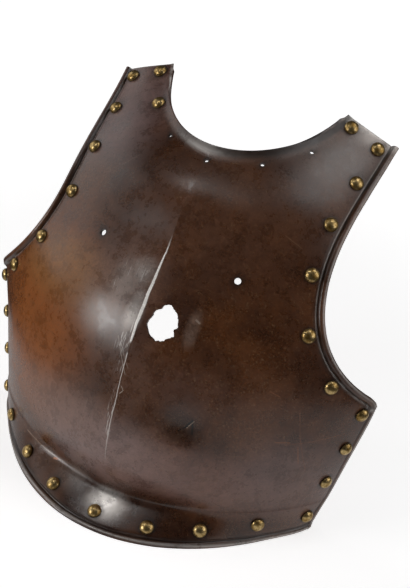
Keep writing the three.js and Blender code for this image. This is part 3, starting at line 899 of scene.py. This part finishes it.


# browned wrought steel: an even iron oxide skin, rubbed with wax. The oxide gives a brown gloss with a fine mottle,
# and bare bright metal shows where the skin is rubbed through. Greyer patches are painted reflection and sheen,
# some dark patches painted shade, and the pale ridge line, edges and polished spots are partly painted highlight.
def brownedSteel(shift):
    material, tree, shader = newMaterial("browned wrought steel")
    place = wornPlace(tree, shift)
    x = addNode(tree, "SeparateXYZ", (place,), "X")
    z = x.node.outputs["Z"]
    flatPlace = addNode(tree, "CombineXYZ", {"X": x, "Z": z})
    front, dirtAndShade, rim = [addNode(tree, "Attribute", output="Fac", attribute_name=name)
                         for name in ("front", "dirtAndShade", "rubbedAndHighlit")]
    layers = {
        name: addNode(tree, "TexNoise", {"Vector": place, "Scale": 1 / (size * mm), "Detail": detail,
                                         "Roughness": roughness})
        for name, (size, detail, roughness) in steel["layers"].items()
    }

    name, *spread = steel["brownShare"]
    share = addNode(tree, "MapRange", (layers[name], *spread), **smooth)
    colour = addNode(tree, "Mix", {0: share, 6: linearColour(steel["dark"]),
                                   7: linearColour(steel["brown"])}, 2, **inColour)
    uneven = unevenShare(tree, layers, front, steel["patchShares"])
    for x0, z0, wide, high, code, strength in steel["patches"]:
        share = addNode(tree, "Math", (spotMask(tree, place, x0, z0, wide, high), strength), operation="MULTIPLY")
        share = addNode(tree, "Math", (share, uneven), operation="MULTIPLY")
        colour = addNode(tree, "Mix", {0: share, 6: colour, 7: linearColour(code)}, 2, **inColour)
    shade = addNode(tree, "MapRange", (layers["grain"], *steel["grainShade"]))
    shade = unevenShare(tree, layers, shade, steel["shades"])
    colour = addNode(tree, "Mix", {0: 1, 6: colour, 7: shade}, 2, **inColour, blend_type="MULTIPLY")

    # over the colour in turn: sand, scratches with a painted highlight beside one crack, and dirt with painted
    # shade
    overlays = [(unevenShare(tree, layers, front, steel["sandShares"]), steel["sand"])]
    for points, width, code, strength in steel["scratches"]:
        shown = addNode(tree, "Math", (front, strength), operation="MULTIPLY")
        for a, b in zip(points, points[1:]):
            share = addNode(tree, "Math", (lineMask(tree, flatPlace, a, b, width), shown), operation="MULTIPLY")
            overlays.append((share, code))
    # darker where the plate holds dirt and painted shade
    overlays.append((addNode(tree, "Math", (dirtAndShade, steel["dirtAndShadeShare"]), operation="MULTIPLY"), steel["dirtAndShade"]))
    for share, code in overlays:
        colour = addNode(tree, "Mix", {0: share, 6: colour, 7: linearColour(code)}, 2, **inColour)

    # pale bare metal: the ridge line, hairline scuffs, the pale edges and the polished spots, partly wear and
    # partly painted highlight and sheen
    line = ridgeWearAndHighlight(tree, place, x, z, front)
    bareAndHighlight = addNode(tree, "Math", (line, ridgeScuffs(tree, place, front)), operation="MAXIMUM")
    rim = unevenShare(tree, layers, rim, steel["rimShares"])
    bareAndHighlight = addNode(tree, "Math", (bareAndHighlight, rim), operation="MAXIMUM")
    # the polished spots: partly rubbed metal, partly painted sheen
    polishAndSheenUneven = unevenShare(tree, layers, front, steel["polishAndSheenShares"])
    for x0, z0, wide, high, strength in steel["polishAndSheen"]:
        share = spotMask(tree, place, x0, z0, wide, high, steel["polishAndSheenSoft"])
        share = addNode(tree, "Math", (share, strength), operation="MULTIPLY")
        share = addNode(tree, "Math", (share, polishAndSheenUneven), operation="MULTIPLY")
        bareAndHighlight = addNode(tree, "Math", (bareAndHighlight, share), operation="MAXIMUM")
    colour = addNode(tree, "Mix", {0: bareAndHighlight, 6: colour, 7: linearColour(steel["worn"])}, 2, **inColour)
    metal = addNode(tree, "MapRange", (line, *ridgeLine["metal"]), **smooth)
    metal = addNode(tree, "Math", (metal, bareAndHighlight), operation="MULTIPLY")

    rough = addNode(tree, "Math", (dirtAndShade, steel["dirtAndShadeRoughness"]), operation="MULTIPLY")
    rough = addNode(tree, "Math", (rough, steel["roughness"]), operation="ADD")
    for name, *spread in steel["roughnessChanges"]:
        change = addNode(tree, "MapRange", (layers[name], *spread), **smooth)
        rough = addNode(tree, "Math", (rough, change), operation="ADD")
    height = 0
    for name, weight in steel["relief"]:
        part = addNode(tree, "Math", (layers[name], weight), operation="MULTIPLY")
        height = addNode(tree, "Math", (part, height), operation="ADD")
    bump = addNode(tree, "Bump", {"Height": height, "Strength": steel["bump"], "Distance": steel["bumpDepth"] * mm})
    for name, value in (("Base Color", colour), ("Metallic", metal), ("Roughness", rough), ("Normal", bump)):
        tree.links.new(value, shader.inputs[name])
    shader.inputs["IOR"].default_value = steel["ior"]
    return material


brass = {
    "bright": "#dcbf86", "patina": "#93733c", "darkening": "#1d150a",
    "patches": (3.5, 4, 0.6), "pits": (1.2, 3, 0.6),     # size in millimetres, detail and roughness of each noise
    # the range of the patches, the pits or the height on the head, and the values that it is spread over
    "brightShare": (0.32, 0.68, 0, 1), "roughness": (0.3, 0.7, 0.45, 0.29), "pitShade": (0.3, 0.6, 0.72, 1.08),
    "dirtShare": (0.08, 0.42, 0.9, 0), "metal": (0.05, 0.4, 0.3, 1),
    "pitRelief": 0.5, "bump": 0.4, "bumpDepth": 0.2,
}


# old brass: cast dome heads with a dull patina, rubbed lighter on the crown, dark where they meet the plate
def agedBrass():
    material, tree, shader = newMaterial("aged cast brass")
    place = addNode(tree, "TexCoord", output="Object")
    patch, pits = [addNode(tree, "TexNoise", {"Vector": place, "Scale": 1 / (size * mm), "Detail": detail,
                                              "Roughness": roughness})
                   for size, detail, roughness in (brass["patches"], brass["pits"])]
    crown = addNode(tree, "Attribute", output="Fac", attribute_name="crown")
    spread = {
        name: addNode(tree, "MapRange", (value, *brass[name]), **smooth)
        for name, value in (("brightShare", patch), ("roughness", patch), ("pitShade", pits), ("dirtShare", crown),
                            ("metal", crown))
    }
    colour = addNode(tree, "Mix", {0: spread["brightShare"], 6: linearColour(brass["patina"]),
                                   7: linearColour(brass["bright"])}, 2, **inColour)
    colour = addNode(tree, "Mix", {0: 1, 6: colour, 7: spread["pitShade"]}, 2, **inColour, blend_type="MULTIPLY")
    colour = addNode(tree, "Mix", {0: spread["dirtShare"], 6: colour,
                                   7: linearColour(brass["darkening"])}, 2, **inColour)
    height = addNode(tree, "Math", (pits, brass["pitRelief"]), operation="MULTIPLY")
    height = addNode(tree, "Math", (patch, height), operation="ADD")
    bump = addNode(tree, "Bump", {"Height": height, "Strength": brass["bump"], "Distance": brass["bumpDepth"] * mm})
    for name, value in (("Base Color", colour), ("Metallic", spread["metal"]), ("Roughness", spread["roughness"]),
                        ("Normal", bump)):
        tree.links.new(value, shader.inputs[name])
    return material


# the floor is seen directly, and the plate reflects only the dim table just under it, in an otherwise dark room
stages = [                      # metres, and the glow close to the middle and far from it
    {"name": "table", "low": (-0.3, -0.36), "high": (0.4, 0.4), "top": -0.002, "colour": "#101010",
     "glow": (0.5, 0.5)},
    {"name": "floor", "low": (-8, -8), "high": (8, 8), "top": 0, "colour": "#f0eeee", "glow": (0.66, 1)},
]
backdrop = {"radius": 7.5, "tall": 6, "sides": 48, "colour": "#f0eeee", "glow": (1, 1)}
opal = {"roughness": 0.7, "spread": (0.3, 1.3)}         # the glow changes over this way from the middle


# opal acrylic light table: white, matt, and lit from below so that its shadows stay faint
def lightTable(colour, glow):
    material, tree, shader = newMaterial("opal light table")
    shader.inputs["Base Color"].default_value = linearColour(colour)
    shader.inputs["Roughness"].default_value = opal["roughness"]
    shader.inputs["Emission Color"].default_value = (1, 1, 1, 1)
    place = addNode(tree, "TexCoord", output="Object")
    away = addNode(tree, "VectorMath", (place,), "Value", operation="LENGTH")
    strength = addNode(tree, "MapRange", (away, *opal["spread"], *glow), **smooth)
    tree.links.new(strength, shader.inputs["Emission Strength"])
    return material


def makeFloor():
    for row in stages:
        (x0, y0), (x1, y1) = row["low"], row["high"]
        bm = bmesh.new()
        bmesh.ops.create_grid(bm, x_segments=1, y_segments=1, size=0.5)
        bmesh.ops.scale(bm, verts=bm.verts[:], vec=(x1 - x0, y1 - y0, 1))
        bmesh.ops.translate(bm, verts=bm.verts[:], vec=((x0 + x1) / 2, (y0 + y1) / 2, row["top"]))
        stage = objectFrom(bm, row["name"], lightTable(row["colour"], row["glow"]))
        stage.visible_glossy = row["name"] == "table"
    bm = bmesh.new()
    bmesh.ops.create_circle(bm, segments=backdrop["sides"], radius=backdrop["radius"])
    wall = bmesh.ops.extrude_edge_only(bm, edges=bm.edges[:])["geom"]
    wall = [item for item in wall if isinstance(item, bmesh.types.BMVert)]
    bmesh.ops.translate(bm, verts=wall, vec=(0, 0, backdrop["tall"]))
    stage = objectFrom(bm, "backdrop", lightTable(backdrop["colour"], backdrop["glow"]))
    stage.visible_glossy = stage.visible_diffuse = stage.visible_shadow = False


# metres, degrees, and the lens and sensor in millimetres
view = {"place": (0.2780, -0.6621, 0.5530), "turn": 20.83, "down": 27.23, "roll": 10.6, "lens": 58.8, "sensor": 36}


def makeCamera():
    camera = bpy.data.cameras.new("camera")
    camera.lens = view["lens"]
    camera.sensor_width = view["sensor"]
    rig = bpy.data.objects.new("camera", camera)
    bpy.context.scene.collection.objects.link(rig)
    look = (Matrix.Rotation(math.radians(view["turn"]), 3, "Z")
            @ Matrix.Rotation(math.radians(90 - view["down"]), 3, "X")
            @ Matrix.Rotation(math.radians(view["roll"]), 3, "Z"))
    rig.matrix_world = Matrix.Translation(view["place"]) @ look.to_4x4()
    bpy.context.scene.camera = rig


# each light by its turn from the front (left is negative) and its height over the horizon, in degrees
lightAim = (0, -0.05, 0.17)
roomGlow = 0.035
softLights = [
    {"name": "strip", "turn": -42, "up": 9, "away": 1.2, "wide": 0.32, "tall": 0.47, "glow": 8.5},
    {"name": "wall", "turn": -90, "up": 22, "away": 1.2, "wide": 1.0, "tall": 0.8, "glow": 1.0},
    {"name": "hair", "turn": -52, "up": 62, "away": 0.85, "wide": 0.12, "tall": 0.12, "glow": 8.5},
    {"name": "above", "turn": -20, "up": 72, "away": 1.1, "wide": 0.5, "tall": 0.3, "glow": 0.8},
    {"name": "right", "turn": 98, "up": 26, "away": 1.2, "wide": 0.8, "tall": 0.8, "glow": 1.7},
    {"name": "behind", "turn": 118, "up": 66, "away": 1.1, "wide": 0.45, "tall": 0.4, "glow": 2.6},
]


def makeLights():
    for row in softLights:
        light = bpy.data.lights.new(row["name"], "AREA")
        light.shape = "RECTANGLE"
        light.size, light.size_y = row["wide"], row["tall"]
        light.energy = row["glow"] * math.pi * row["wide"] * row["tall"]
        lamp = bpy.data.objects.new(row["name"], light)
        bpy.context.scene.collection.objects.link(lamp)
        turn, up = math.radians(row["turn"]), math.radians(row["up"])
        toLamp = Vector((math.cos(up) * math.sin(turn), -math.cos(up) * math.cos(turn), math.sin(up)))
        look = (-toLamp).to_track_quat("-Z", "Y").to_matrix().to_4x4()
        lamp.matrix_world = Matrix.Translation(Vector(lightAim) + toLamp * row["away"]) @ look
        lamp.visible_camera = False
    world = bpy.data.worlds.new("studio")
    world.use_nodes = True
    background = world.node_tree.nodes["Background"]
    background.inputs["Color"].default_value = (1, 1, 1, 1)
    background.inputs["Strength"].default_value = roomGlow
    bpy.context.scene.world = world
    bpy.context.scene.view_settings.view_transform = "Standard"


makeCamera()
makeFloor()
makeLights()
print("studio ready")
steelPlate, skin, shift = makePlate()
print("plate shaped, moved back by", round(shift.y / mm, 2))
cutHoles(steelPlate, holeCutters(shift))
print("holes cut", len(steelPlate.data.polygons), "faces")
rivetPlaces = makeRivets(skin, agedBrass())
markWearAndPaintedLight(steelPlate, shift, rivetPlaces, skin)
smoothFaces(steelPlate, plate["sharpAngle"])
steelPlate.data.materials.append(brownedSteel(shift))
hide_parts("breast_plate")
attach(steelPlate, "root")
print("plate finished")
